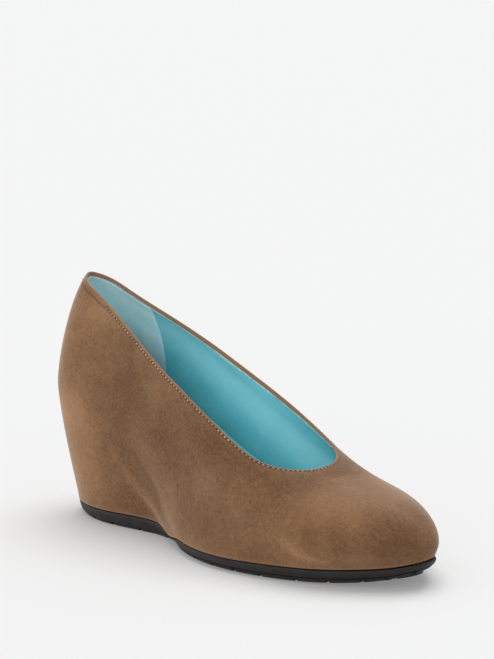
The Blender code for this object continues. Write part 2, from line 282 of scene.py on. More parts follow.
# Places on the outer side painted paler (+) or darker (-), partly brushed nap and partly painted light and
# shade, such as the pale band at the back of the heel's outer side, as ellipses that fade out over
# SIDE_BLEND at the shoe's middle.
SIDE_BLEND = 0.004
NAP_AND_LIGHT_PATCHES = table(
    "x height half_length half_height tone",
    (0.025, 0.060, 0.014, 0.022, 1.4),
    (0.032, 0.028, 0.018, 0.018, 0.6),
    (0.033, 0.112, 0.016, 0.008, 0.9),
    (0.044, 0.096, 0.012, 0.008, -0.4),
    (0.072, 0.070, 0.018, 0.016, -0.6),
    (0.118, 0.056, 0.030, 0.012, -0.6),
    (0.128, 0.020, 0.030, 0.012, -0.7),
    (0.230, 0.020, 0.010, 0.008, -0.9),
    (0.208, 0.038, 0.020, 0.010, 0.5),
)
# Front edge of the heel grip: how far up the wall, and its place along the foot.
GRIP_EDGE = table(
    "up share",
    (0.0, 0.262),
    (0.3, 0.270),
    (0.6, 0.278),
    (0.85, 0.286),
    (1.0, 0.293),
)
GRIP_THICKNESS, GRIP_SUNK = 0.0005, 0.00025
GRIP_BELOW_LINING = 0.0002
GRIP_COLUMNS, GRIP_ROWS = 91, 46
# Share of the grip over which it thins to its edges, and how thin it stays at the top.
GRIP_ROUND, GRIP_THINNEST = 0.02, 0.3

# Side of the rubber from its top edge down: share of its height, and how far it stands in.
SOLE_SIDE = table(
    "share forefoot_inset heel_inset",
    (1.00, 0.0010, 0.0008),
    (0.97, 0.0004, 0.0003),
    (0.92, 0.0001, 0.0001),
    (0.80, 0.0000, 0.0000),
    (0.62, 0.0002, 0.0000),
    (0.47, 0.0006, 0.0001),
    (0.44, 0.0010, 0.0001),
    (0.42, 0.0017, 0.0002),
    (0.38, 0.0017, 0.0002),
    (0.36, 0.0012, 0.0002),
    (0.33, 0.0012, 0.0004),
    (0.20, 0.0019, 0.0008),
    (0.10, 0.0026, 0.0013),
    (0.03, 0.0035, 0.0019),
    (0.00, 0.0045, 0.0027),
)
HEEL_PROFILE_END, FOREFOOT_PROFILE_START = 0.070, 0.090
TOE_BEVEL = 0.0018
TOE_LEDGE = 0.0011
TOE_BEVEL_START = 0.205
HEEL_BEVEL = 0.0034
HEEL_BEVEL_END = 0.040
GROOVE_WIDTH = 0.0018
GROOVE_DEPTH = 0.0019
GROOVES = (0.031, 0.0465, 0.0655, 0.120, 0.134, 0.1477, 0.1633, 0.182, 0.1977, 0.213, 0.2235, 0.2345)
GROOVE_SLANT = math.tan(math.radians(6))
GROOVE_EDGE = 0.00015
# How far the rings of the rubber's side still rise over a groove.
GROOVE_ROOF = 0.0002
OUTLINE_POINTS = 1200
SOLE_STATIONS = 150
SOLE_ACROSS = 16

# Colours, in linear red, green and blue.
SUEDE_DARK, SUEDE_PALE = (0.102, 0.042, 0.015), (0.290, 0.156, 0.075)
SUEDE_SPECK = (0.36, 0.22, 0.12)
SUEDE_PALE_NAP_AND_LIGHT = (0.42, 0.258, 0.145)
SUEDE_WORN_AND_LIT = (0.350, 0.190, 0.105)
SEAM_SHADOW = (0.065, 0.028, 0.014)
LINING_DARK, LINING_PALE = (0.13, 0.53, 0.60), (0.18, 0.62, 0.69)
LINING_PAINTED_LIGHT, LINING_PAINTED_SHADE = (0.60, 0.93, 0.98), (0.0, 0.03, 0.04)
CUT_EDGE_DARK, CUT_EDGE_PALE = (0.14, 0.38, 0.42), (0.46, 0.70, 0.72)
GRIP_DARK, GRIP_PALE = (0.60, 0.80, 0.82), (0.80, 0.94, 0.95)
RUBBER_DARK, RUBBER_DUSTY = (0.006, 0.0052, 0.005), (0.025, 0.0212, 0.020)
THREAD_DARK, THREAD_PALE = (0.27, 0.155, 0.075), (0.56, 0.37, 0.205)
THREAD_BEHIND = (0.15, 0.078, 0.036)
CORK_DARK, CORK_PALE = (0.24, 0.15, 0.08), (0.46, 0.33, 0.20)
FLOOR_COLOUR, FLOOR_GLOW = (0.685, 0.689, 0.690, 1), 0.20
WHITE = (1, 1, 1, 1)

FLOOR_HALF_WIDTH = 60
CAMERA_PLACE = (0.6542, -0.7159, 0.2823)
CAMERA_TARGET = (-0.00686, 0.01376, 0.10762)
CAMERA_LENS, CAMERA_SENSOR, CAMERA_REACH = 107.6, 36, 200
# Strength of the room's light at the horizon and overhead, and the heights between which it falls.
HORIZON_LIGHT, ROOM_LIGHT = 0.9, 0.45
HORIZON_HEIGHT, ROOM_HEIGHT = 0.06, 0.45
# Soft lights, with their width in degrees. Only the one overhead lights the floor too.
SUNS = table(
    "name strength width direction lights_floor",
    ("overhead", 1.8, 50, (-0.12, 0.27, 1.0), True),
    ("front", 1.35, 45, (-0.05, -0.8, 0.6), False),
    ("left", 1.4, 50, (-1.0, -0.1, 0.2), False),
)
PIECES = bpy.data.collections.new("pieces")


def smooth_curve(sizes, name):
    """A natural cubic spline through one column of a table, over its first column."""
    rows = np.array(sizes["rows"])
    xs, ys = rows[:, 0], rows[:, sizes["columns"].index(name)]
    step = np.diff(xs)
    slope = np.diff(ys) / step
    system = np.eye(len(xs))
    target = np.zeros(len(xs))
    for i in range(1, len(xs) - 1):
        system[i, i - 1 : i + 2] = step[i - 1], 2 * (step[i - 1] + step[i]), step[i]
        target[i] = 6 * (slope[i] - slope[i - 1])
    bend = np.linalg.solve(system, target)

    def value(x):
        i = np.clip(np.searchsorted(xs, x) - 1, 0, len(step) - 1)
        after, before, h = xs[i + 1] - x, x - xs[i], step[i]
        cubic = (bend[i] * after**3 + bend[i + 1] * before**3) / (6 * h)
        start = (ys[i] / h - bend[i] * h / 6) * after
        end = (ys[i + 1] / h - bend[i + 1] * h / 6) * before
        return cubic + start + end

    return value


GIRTH_WIDTH = {LATERAL: smooth_curve(LAST, "lateral"), MEDIAL: smooth_curve(LAST, "medial")}
GIRTH_HEIGHT = smooth_curve(LAST, "height")
RIDGE_HEIGHT = smooth_curve(LAST, "ridge")
FULLNESS = smooth_curve(LAST, "fullness")
FEATHER_WIDTH = {LATERAL: smooth_curve(FEATHER, "lateral"), MEDIAL: smooth_curve(FEATHER, "medial")}
COLLAR_HEIGHT = smooth_curve(COLLAR, "height")
FOOTBED_HEIGHT = smooth_curve(FOOTBED, "height")
FOOTBED_RISE = smooth_curve(FOOTBED, "side_rise")
SEAM_RISE_AT = smooth_curve(SEAM_RISE, "rise")
FEATHER_START, FEATHER_END = FEATHER["rows"][0][0], FEATHER["rows"][-1][0]
THROAT = COLLAR["rows"][-1][0]


def held(values):
    """The values, held between 0 and 1."""
    return np.clip(values, 0, 1)


def rounded_ends(x, length, heel=HEEL_ROUND):
    """1 along the middle of a length, falling to 0 at both ends as round caps."""
    from_heel = held(1 - x / heel[0])
    from_toe = held(1 - (length - x) / TOE_ROUND[0])
    at_heel = held(1 - from_heel ** heel[1]) ** (1 / heel[1])
    at_toe = held(1 - from_toe ** TOE_ROUND[1]) ** (1 / TOE_ROUND[1])
    return at_heel * at_toe


def toe_spring(x):
    return TOE_SPRING * held((x - SPRING_START) / (LENGTH - SPRING_START)) ** 2


def waist(x):
    """A soft bump, 1 at the waist and 0 away from it."""
    return held(1 - ((x - WAIST_X) / WAIST_HALF_LENGTH) ** 2) ** 2


def arch(x):
    """How far the tread lifts off the floor at the waist, with a blunt end on both sides."""
    return ARCH_RISE * held(1 - ((x - ARCH_X) / ARCH_HALF_LENGTH) ** 4)


def seat_height(x):
    """Where the wedge and the footbed sit on the rubber."""
    return FEATHER_HEIGHT - WAIST_DIP * waist(x) + toe_spring(x)


def feather_height(x):
    """The seam between suede and rubber all round."""
    return seat_height(x) + SEAM_RISE_AT(x)


def tread_height(x):
    lift = TREAD_LIFT * held((x - TREAD_LIFT_START) / (LENGTH - TREAD_LIFT_START)) ** 2
    return arch(x) + toe_spring(x) + lift


def dome_height(x):
    """How high the top of the last stands over its widest line."""
    return (RIDGE_HEIGHT(x) - GIRTH_HEIGHT(x)) * rounded_ends(x, LENGTH, heel=RIDGE_ROUND)


def girth_half_width(x, side):
    return GIRTH_WIDTH[side](x) * rounded_ends(x, LENGTH)


def dome_surface(x, y, side):
    """Height of the last's outside above its widest line."""
    full = FULLNESS(x)
    across = held(np.abs(y) / np.maximum(girth_half_width(x, side), 1e-6))
    return GIRTH_HEIGHT(x) + dome_height(x) * (1 - across**full) ** (1 / full)


def collar_half_width(x, side):
    full = FULLNESS(x)
    rise = (COLLAR_HEIGHT(x) - GIRTH_HEIGHT(x)) / np.maximum(dome_height(x), 1e-6)
    return girth_half_width(x, side) * (1 - held(rise) ** full) ** (1 / full)


def collar_back():
    """Where the back of the heel reaches the collar's height."""
    low, high = 0.0, RIDGE_ROUND[0]
    for _ in range(HALVINGS):
        middle = (low + high) / 2
        if GIRTH_HEIGHT(middle) + dome_height(middle) < COLLAR_HEIGHT(middle):
            low = middle
        else:
            high = middle
    return high


COLLAR_BACK = collar_back()


def rib_ends(share, side):
    """Plan points of one rib on the lower edge, the widest line and the collar."""
    along = (1 - math.cos(math.pi * share)) / 2
    run = FEATHER_END - FEATHER_START
    edge_x = FEATHER_START + run * along
    edge_y = FEATHER_WIDTH[side](edge_x) * rounded_ends(run * along, run)
    girth_x = LENGTH * along
    collar_x = COLLAR_BACK + (THROAT - COLLAR_BACK) * along
    edge = np.array((edge_x, side * edge_y))
    girth = np.array((girth_x, side * girth_half_width(girth_x, side)))
    collar = np.array((collar_x, side * collar_half_width(collar_x, side)))
    return edge, girth, collar


def footbed_top(x, y):
    """Height of the footbed: cupped at the heel, nearly flat under the toes."""
    side_rise = FOOTBED_RISE(x) * (y / FOOTBED_HALF_WIDTH) ** 2
    back_rise = HEEL_CUP * held(1 - x / HEEL_CUP_END) ** 2
    return FOOTBED_HEIGHT(x) + toe_spring(x) + side_rise + back_rise


def runs_along(points):
    """How far along a line each of its points lies."""
    return np.append(0, np.cumsum(np.linalg.norm(np.diff(points, axis=0), axis=1)))


def values_at(places, runs, values):
    """The values that a line's points carry, at places between the points."""
    return np.stack([np.interp(places, runs, axis) for axis in values.T], axis=-1)


def resampled(points, count):
    """The line through the points as this many points at equal distances."""
    runs = runs_along(points)
    return values_at(np.linspace(0, runs[-1], count), runs, points)


def rib(share, side):
    """Points up the outside, from the lower edge over the widest line to the collar."""
    edge, girth, collar = rib_ends(share, side)
    bottom, top = feather_height(edge[0]), GIRTH_HEIGHT(girth[0])
    rise = np.linspace(0, 1, FINE_BELOW)[:, None]
    power = FLARE_POWER[0] + (FLARE_POWER[1] - FLARE_POWER[0]) * share
    below = girth + (edge - girth) * (1 - rise) ** power
    below = np.hstack((below, bottom + LIP + (top - bottom - LIP) * rise))
    step = np.linspace(0, 1, FINE_ABOVE)[1:, None] ** FINE_POWER
    above = girth + (collar - girth) * step
    above = np.hstack((above, dome_surface(above[:, :1], above[:, 1:], side)))
    return resampled(np.vstack(((*edge, bottom), below, above)), GRID_ROWS)


def unit(vectors):
    return vectors / np.linalg.norm(vectors, axis=-1, keepdims=True)


def run_round(ring):
    """The way from the point before to the point after each point of a closed ring."""
    return np.roll(ring, -1, axis=0) - np.roll(ring, 1, axis=0)


def normals_of(grid):
    """Outward directions of a grid whose columns run round the shoe and whose rows run up."""
    return unit(np.cross(run_round(grid), np.gradient(grid, axis=1)))


def eased(grid):
    """The grid with the sudden changes of its curvature smoothed, its lower edge and collar kept."""
    for _ in range(SMOOTH_ROWS):
        grid[:, 1:-1] += SMOOTH_SHARE * (grid[:, :-2] - 2 * grid[:, 1:-1] + grid[:, 2:])
    for _ in range(SMOOTH_COLUMNS):
        grid += SMOOTH_SHARE * (np.roll(grid, 1, axis=0) - 2 * grid + np.roll(grid, -1, axis=0))
    return grid


def on_fold(points, path, width):
    """1 on a fold's path and 0 away from it, fading to both ends."""
    path = np.array(path)
    flat = points[..., [0, 2]]
    nearest = np.full(flat.shape[:-1], np.inf)
    place = np.zeros(flat.shape[:-1])
    lengths = np.linalg.norm(np.diff(path, axis=0), axis=1)
    starts = np.append(0, np.cumsum(lengths))
    for start, end, length, before in zip(path, path[1:], lengths, starts):
        share = held(((flat - start) @ (end - start)) / length**2)
        away = np.linalg.norm(flat - start - share[..., None] * (end - start), axis=-1)
        closer = away < nearest
        nearest = np.where(closer, away, nearest)
        place = np.where(closer, (before + share * length) / starts[-1], place)
    fade = np.sin(np.pi * np.clip(place, FOLD_ENDS, 1 - FOLD_ENDS)) ** FOLD_FADE
    on_side = np.sign(points[..., 1]) == LATERAL
    return fade * np.exp(-((nearest / width) ** 2)) * on_side


def back_seam_shift(grid):
    """The fine groove of the seam up the back of the heel."""
    behind = held(1 - grid[..., 0] / BACK_SEAM_REACH) ** 0.5
    return -BACK_SEAM_DEPTH * behind * np.exp(-((grid[..., 1] / BACK_SEAM_WIDTH) ** 2))


def nap_and_painted_light(points):
    """How much paler or darker than the rest each point is: brushed nap, and painted light and shade on the
    folds and patches.
    """
    tone = sum(paler * on_fold(points, path, width) for path, _, width, paler in FOLDS["rows"])
    for x, height, half_length, half_height, amount in NAP_AND_LIGHT_PATCHES["rows"]:
        away = ((points[:, 0] - x) / half_length) ** 2 + ((points[:, 2] - height) / half_height) ** 2
        tone += amount * np.exp(-away) / (1 + np.exp(-LATERAL * points[:, 1] / SIDE_BLEND))
    return tone


def outside_grid():
    """The whole outside as columns round the shoe, each with rows from the rubber to the collar."""
    shares = np.linspace(0, 1, SIDE_COLUMNS + 1)
    columns = [rib(share, LATERAL) for share in shares]
    columns += [rib(share, MEDIAL) for share in shares[-2:0:-1]]
    grid = eased(np.array(columns))
    shift = sum(rise * on_fold(grid, path, width) for path, rise, width, _ in FOLDS["rows"])
    return grid + normals_of(grid) * (shift + back_seam_shift(grid))[..., None]


OUTSIDE = outside_grid()
NORMALS = normals_of(OUTSIDE)
COLUMN_COUNT = len(OUTSIDE)
EVERY_COLUMN = np.arange(COLUMN_COUNT, dtype=float)
# How far forward each column lies: 0 at the back of the heel and 1 at the toe.
FORWARD = 1 - np.abs(EVERY_COLUMN / SIDE_COLUMNS - 1)
STITCH_DISTANCE = np.interp(FORWARD, *np.array(STITCH_LINE["rows"]).T)
RIB_LENGTHS = np.linalg.norm(np.diff(OUTSIDE, axis=1), axis=-1).sum(axis=1)


def sampled(grid, row, column=EVERY_COLUMN):
    """The grid's value at columns and rows that lie between its own."""
    first, lower = np.floor(column).astype(int), np.clip(np.floor(row).astype(int), 0, GRID_ROWS - 2)
    across, up = (column - first)[..., None], (row - lower)[..., None]
    after = (first + 1) % COLUMN_COUNT
    first = first % COLUMN_COUNT
    at_first = grid[first, lower] * (1 - up) + grid[first, lower + 1] * up
    at_after = grid[after, lower] * (1 - up) + grid[after, lower + 1] * up
    return at_first * (1 - across) + at_after * across


def edge_slant():
    """Cosine between each rib's top end and the way straight up to the collar's edge."""
    edge = OUTSIDE[:, -1]
    up = unit(np.cross(NORMALS[:, -1], unit(run_round(edge))))
    ribs = unit(edge - OUTSIDE[:, -1 - EDGE_ROWS])
    return np.clip((up * ribs).sum(axis=-1), LEAST_SLANT, 1)


EDGE_SLANT = edge_slant()


def row_below_edge(distance, column=EVERY_COLUMN):
    """The row that lies a distance below the collar's edge in each column."""
    slant = np.interp(column, EVERY_COLUMN, EDGE_SLANT, period=COLUMN_COUNT)
    length = np.interp(column, EVERY_COLUMN, RIB_LENGTHS, period=COLUMN_COUNT)
    return (GRID_ROWS - 1) * (1 - distance / slant / length)


def seam_mark(distance):
    """1 in the trough of the stitches and at the ends of the heel tab, 0 away from them."""
    trough = np.exp(-(((distance - STITCH_DISTANCE) / STITCH_TROUGH_WIDTH) ** 2))
    tab_end = np.exp(-(((FORWARD - TAB_END) / TAB_END_WIDTH) ** 2)) * (distance < STITCH_DISTANCE)
    return np.maximum(trough, tab_end)


def under(row, depth, column=EVERY_COLUMN):
    """Points a depth under the outside."""
    out = unit(sampled(NORMALS, row, column))
    return sampled(OUTSIDE, row, column) - out * np.asarray(depth)[..., None]


def footbed_rows(depth, below):
    """The row of each column where a surface at a depth under the outside meets the footbed."""
    inner = OUTSIDE - NORMALS * depth
    over = inner[..., 2] - footbed_top(inner[..., 0], inner[..., 1]) + below
    rows = np.arange(GRID_ROWS, dtype=float)
    return np.array([np.interp(0, np.maximum.accumulate(line), rows) for line in over])


LINING_BOTTOM = footbed_rows(LINING_INNER, LINING_BELOW_FOOTBED)


def placed(name, data):
    """A new object in the scene."""
    thing = bpy.data.objects.new(name, data)
    bpy.context.scene.collection.objects.link(thing)
    return thing


def new_piece(name, vertices, faces, materials, replaced=(), face_materials=None, smooth_angle=40):
    """A mesh piece of the shoe from points in the shoe's own frame."""
    data = bpy.data.meshes.new(name)
    moved = np.array(vertices) - (*MIDDLE, 0)
    data.from_pydata(moved.tolist(), [], faces)
    data.validate()
    data.shade_smooth()
    data.set_sharp_from_angle(angle=math.radians(smooth_angle))
    for material in materials:
        data.materials.append(material)
    if face_materials is not None:
        data.polygons.foreach_set("material_index", face_materials)
    piece = placed(name, data)
    PIECES.objects.link(piece)
    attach(piece, "root")
    if replaced:
        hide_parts(*replaced)
    return piece


def ring_faces(rings, columns, close_rows):
    """Quads between rings of points that run round the shoe."""
    faces = []
    last = rings if close_rows else rings - 1
    for row in range(last):
        here, above = row * columns, (row + 1) % rings * columns
        for column in range(columns):
            after = (column + 1) % columns
            faces.append((here + column, here + after, above + after, above + column))
    return faces


def set_tone(piece, name, values):
    """Keeps one number for each vertex, for the material to read."""
    attribute = piece.data.attributes.new(name, "FLOAT", "POINT")
    attribute.data.foreach_set("value", np.asarray(values, dtype=np.float32))


def make_suede(material):
    """The outer skin: outside, folded top edge, hidden inner face and lower edge, as one closed form."""
    rings, edge_wear_and_light, seam_tone = [], [], []

    def add(ring, edge, seam=0.0):
        rings.append(ring)
        edge_wear_and_light.append(np.broadcast_to(edge, COLUMN_COUNT))
        seam_tone.append(np.broadcast_to(seam, COLUMN_COUNT))

    faintness = 1 - TAB_FAINTNESS * (FORWARD < TAB_END)
    top_row = row_below_edge(NEAR_EDGE[-1])
    lowest = SUEDE_LOWEST / RIB_LENGTHS * (GRID_ROWS - 1)
    for share in np.linspace(0, 1, SUEDE_RINGS)[:-1]:
        row = lowest + (top_row - lowest) * share
        above_rubber = row / (GRID_ROWS - 1) * RIB_LENGTHS
        add(under(row, 0), RUBBED_LOW * np.exp(-((above_rubber / RUBBED_LOW_HEIGHT) ** 2)))
    for distance in reversed(NEAR_EDGE):
        mark = seam_mark(distance)
        ring = under(row_below_edge(distance), STITCH_TROUGH * mark)
        add(ring, RUBBED_NEAR_EDGE * (1 - distance / NEAR_EDGE[-1]), mark * faintness)
    row = row_below_edge(FOLD_RADIUS)
    start = sampled(OUTSIDE, row)
    out = unit(sampled(NORMALS, row))
    up = unit(np.cross(out, unit(run_round(start))))
    for angle in np.radians(FOLD_ANGLES):
        ring = start + FOLD_RADIUS * (out * (math.cos(angle) - 1) + up * math.sin(angle))
        # Rubbed wear on the fold, and painted light that grows as the fold turns inward.
        add(ring, RUBBED_FOLD + FOLD_PAINTED_LIGHT_GAIN * angle)
    inner_row = row_below_edge(SUEDE_INNER)
    for share in (0.5, 1.0):
        # Rubbed wear and painted light behind the fold.
        add(under(row + (inner_row - row) * share, 2 * FOLD_RADIUS), WORN_AND_LIT_BEHIND_FOLD)
    for share in np.linspace(0, 1, SUEDE_INNER_RINGS)[1:]:
        add(under(inner_row * (1 - share), 2 * FOLD_RADIUS), 0.0)
    for share, depth in SUEDE_LIP["rows"]:
        add(under(lowest * share, depth), RUBBED_LIP)
    vertices = np.vstack(rings)
    faces = ring_faces(len(rings), COLUMN_COUNT, close_rows=True)
    piece = new_piece("upper_suede", vertices, faces, [material], ("upper",))
    set_tone(piece, "edge", np.concatenate(edge_wear_and_light))
    set_tone(piece, "seam", np.concatenate(seam_tone))
    set_tone(piece, "tone", nap_and_painted_light(vertices))


def make_lining(leather, raw_edge):
    """The leather inside, a closed shell with a pale cut edge under the suede's fold."""
    top = row_below_edge(LINING_TOP)
    inner_top = row_below_edge(LINING_TOP + LINING_INNER_START)
    rings = [under(top + (LINING_BOTTOM - top) * share, LINING_OUTER) for share in LINING_OUTER_SHARES]
    pale_from = len(rings)
    for past_top, depth in LINING_EDGE["rows"]:
        rings.append(under(row_below_edge(LINING_TOP + past_top), depth))
    pale_to = len(rings) - 1
    for share in LINING_INNER_SHARES:
        rings.append(under(inner_top + (LINING_BOTTOM - inner_top) * share, LINING_INNER))
    faces = ring_faces(len(rings), COLUMN_COUNT, close_rows=True)
    rows = np.repeat(np.arange(len(rings)), COLUMN_COUNT)
    pale = ((rows >= pale_from) & (rows < pale_to)).astype(int)
    vertices = np.vstack(rings)
    piece = new_piece("lining", vertices, faces, [leather, raw_edge], (), pale)
    set_painted_inner_light(piece, vertices)


def set_painted_inner_light(piece, points):
    """Marks the band of painted light inside, and painted shade by how deep inside each point lies, along a
    crease and near the throat.
    """
    x = points[:, 0]
    below = COLLAR_HEIGHT(np.clip(x, COLLAR_BACK, THROAT)) - points[:, 2]
    past_band = below - LIT_BAND_MIDDLE - LIT_BAND_SINK * np.clip(x - LIT_BAND_SINK_START, 0, LIT_BAND_SINK_RUN)
    fading = held((THROAT - x) / PAINTED_SHADE_FADE)
    painted_inner_shade = fading * held((past_band - PAINTED_SHADE_START) / PAINTED_SHADE_RUN)
    painted_crease_shade = CREASE_SHADE * np.exp(-(((past_band + CREASE_ABOVE) / CREASE_HALF_WIDTH) ** 2))
    near_throat = THROAT_SHADE * held((x - THROAT_SHADE_START) / THROAT_SHADE_RUN)
    # Painted light in a band below the collar, and painted shade deep inside, along a crease and near the
    # throat.
    set_tone(piece, "painted_light_band", np.exp(-((past_band / LIT_BAND_HALF_HEIGHT) ** 2)))
    set_tone(piece, "painted_inner_shade", np.maximum(painted_inner_shade, painted_crease_shade + near_throat))


def make_heel_grip(material):
    """A thin suede patch on the lining round the back of the heel."""
    share_at = smooth_curve(GRIP_EDGE, "share")
    across, up = np.meshgrid(np.linspace(-1, 1, GRIP_COLUMNS), np.linspace(0, 1, GRIP_ROWS))
    column = -across * share_at(up) * SIDE_COLUMNS
    top = row_below_edge(LINING_TOP + GRIP_BELOW_LINING, column)
    bottom = np.interp(column, EVERY_COLUMN, LINING_BOTTOM, period=COLUMN_COUNT)
    row = bottom + (top - bottom) * up
    near_end = held((1 - np.abs(across)) / GRIP_ROUND) ** 0.5
    near_top = np.clip((1 - up) / GRIP_ROUND, GRIP_THINNEST, 1) ** 0.5
    inner = under(row, LINING_INNER + GRIP_THICKNESS * near_end * near_top, column)
    outer = under(row, LINING_INNER - GRIP_SUNK, column)
    rows, columns = across.shape
    sheet = rows * columns
    vertices = np.vstack((inner.reshape(-1, 3), outer.reshape(-1, 3)))
    faces = []
    for i in range(rows - 1):
        for j in range(columns - 1):
            a = i * columns + j
            quad = (a, a + 1, a + columns + 1, a + columns)
            faces.append(quad)
            faces.append(tuple(corner + sheet for corner in reversed(quad)))
    rim = list(range(columns))
    rim += [i * columns + columns - 1 for i in range(1, rows)]
    rim += [(rows - 1) * columns + j for j in range(columns - 2, -1, -1)]
    rim += [i * columns for i in range(rows - 2, 0, -1)]
    for here, after in zip(rim, rim[1:] + rim[:1]):
        faces.append((after, here, here + sheet, after + sheet))
    piece = new_piece("heel_grip", vertices, faces, [material])
    set_painted_inner_light(piece, vertices)


def filled_across(ring, height, across, facing_up):
    """Inner points and faces of a sheet across a ring whose halves face each other."""
    count, half = len(ring), len(ring) // 2
    points, lines = [], [[0] * (across + 1)]
    for i in range(1, half):
        line = [i]
        for j in range(1, across):
            point = ring[i] + (ring[count - i] - ring[i]) * j / across
            line.append(count + len(points))
            points.append((point[0], point[1], 0.0))
        lines.append(line + [count - i])
    lines.append([half] * (across + 1))
    points = np.array(points)
    points[:, 2] = height(points[:, 0], points[:, 1])
    faces = []
    for before, after in zip(lines, lines[1:]):
        for j in range(across):
            corners = list(dict.fromkeys((before[j], after[j], after[j + 1], before[j + 1])))
            faces.append(tuple(corners if facing_up else corners[::-1]))
    return points, faces


def closed_form(rings, top_height, bottom_height, across):
    """Rings from the bottom up, joined and closed by a sheet across each end."""
    columns = len(rings[0])
    faces = ring_faces(len(rings), columns, close_rows=False)
    vertices = list(rings)
    used = len(rings) * columns
    ends = ((len(rings) - 1, top_height, True), (0, bottom_height, False))
    for number, height, facing_up in ends:
        points, sheet = filled_across(rings[number], height, across, facing_up)
        for face in sheet:
            faces.append(tuple(number * columns + i if i < columns else used + i - columns for i in face))
        vertices.append(points)
        used += len(points)
    return np.vstack(vertices), faces


def sock_height(x, y):
    """Top of the footbed's leather."""
    height = footbed_top(x, y)
    for middle, half_length, half_width, depth in SOCK_DIPS["rows"]:
        height = height - depth * np.exp(-(((x - middle) / half_length) ** 2) - (y / half_width) ** 2)
    return height


def sock_underside(x, y):
    return sock_height(x, y) - FOOTBED_THICKNESS


def make_footbed(material):
    """The leather sock on the footbed, out to the lining all round."""
    edge = under(footbed_rows(FOOTBED_DEPTH, 0), FOOTBED_DEPTH)[::2]
    rings = []
    for distance, below in SOCK_EDGE["rows"]:
        ring = inset(edge, distance)
        ring[:, 2] = sock_height(ring[:, 0], ring[:, 1]) - below
        rings.append(ring)
    vertices, faces = closed_form(rings, sock_height, sock_underside, SOCK_ACROSS)
    new_piece("footbed_sock", vertices, faces, [material], ("insole",))


def inset(ring, distance):
    """The plan ring moved in by a distance, or by one distance for each point."""
    run = run_round(ring[:, :2])
    inward = unit(np.stack((-run[:, 1], run[:, 0]), axis=-1))
    moved = ring.copy()
    moved[:, :2] += inward * np.broadcast_to(distance, len(ring))[:, None]
    return moved


def sole_outline():
    """The rubber's outline, as points where slanted lines parallel to the grooves cross it."""
    shares = np.linspace(0, 1, OUTLINE_POINTS)
    lateral = np.array([rib_ends(share, LATERAL)[0] for share in shares])
    medial = np.array([rib_ends(share, MEDIAL)[0] for share in shares[-2:0:-1]])
    outline = np.vstack((lateral, medial))
    slanted = outline[:, 0] + GROOVE_SLANT * outline[:, 1]
    start, end = int(np.argmin(slanted)), int(np.argmax(slanted))
    outline, slanted = np.roll(outline, -start, axis=0), np.roll(slanted, -start)
    end = (end - start) % len(outline)
    even = (1 - np.cos(np.linspace(0, math.pi, SOLE_STATIONS))) / 2
    stations = list(slanted[0] + (slanted[end] - slanted[0]) * even[1:-1])
    for groove in GROOVES:
        stations = [s for s in stations if abs(s - groove) > GROOVE_WIDTH / 2 + 2 * GROOVE_EDGE]
        for side in (-1, 1):
            stations += [groove + side * (GROOVE_WIDTH / 2 + GROOVE_EDGE), groove + side * GROOVE_WIDTH / 2]
        stations.append(groove)
    stations = np.array(sorted(stations))
    near = values_at(stations, slanted[: end + 1], outline[: end + 1])
    far_slanted = np.append(slanted[end:], slanted[0])[::-1]
    far_outline = np.vstack((outline[end:], outline[:1]))[::-1]
    far = values_at(stations, far_slanted, far_outline)[::-1]
    return np.vstack((outline[:1], near, outline[end : end + 1], far))


def groove_depth(x, y):
    """How far the grooves between the lugs are cut up into the tread."""
    slanted = x + GROOVE_SLANT * y
    away = np.min([np.abs(slanted - groove) for groove in GROOVES], axis=0)
    return GROOVE_DEPTH * held((GROOVE_WIDTH / 2 + GROOVE_EDGE - away) / GROOVE_EDGE)


def make_outsole(material):
    """The rubber unit: a smooth band, a line, a tread with grooves, and an arched waist."""
    outline = sole_outline()
    x = outline[:, 0]
    top = feather_height(x) - SOLE_GAP
    bottom = tread_height(x)
    near_back = held(1 - x / HEEL_BEVEL_END)
    near_toe = held((x - TOE_BEVEL_START) / (LENGTH - TOE_BEVEL_START))
    forward = held((x - HEEL_PROFILE_END) / (FOREFOOT_PROFILE_START - HEEL_PROFILE_END))
    bevel = HEEL_BEVEL * near_back + TOE_BEVEL * near_toe
    cut = bottom + groove_depth(x, outline[:, 1])
    rings = []
    for share, forefoot_inset, heel_inset in reversed(SOLE_SIDE["rows"]):
        height = np.maximum(bottom + (top - bottom) * share, cut + GROOVE_ROOF * share)
        side = heel_inset + (forefoot_inset - heel_inset) * forward - TOE_LEDGE * near_toe
        rings.append(inset(np.column_stack((outline, height)), side + bevel * (1 - share)))

    def seat(x, y):
        return seat_height(x) - SOLE_GAP

    def tread(x, y):
        return tread_height(x) + groove_depth(x, y)

    vertices, faces = closed_form(rings, seat, tread, SOLE_ACROSS)
    new_piece("outsole_rubber", vertices, faces, [material], ("outsole",), smooth_angle=30)


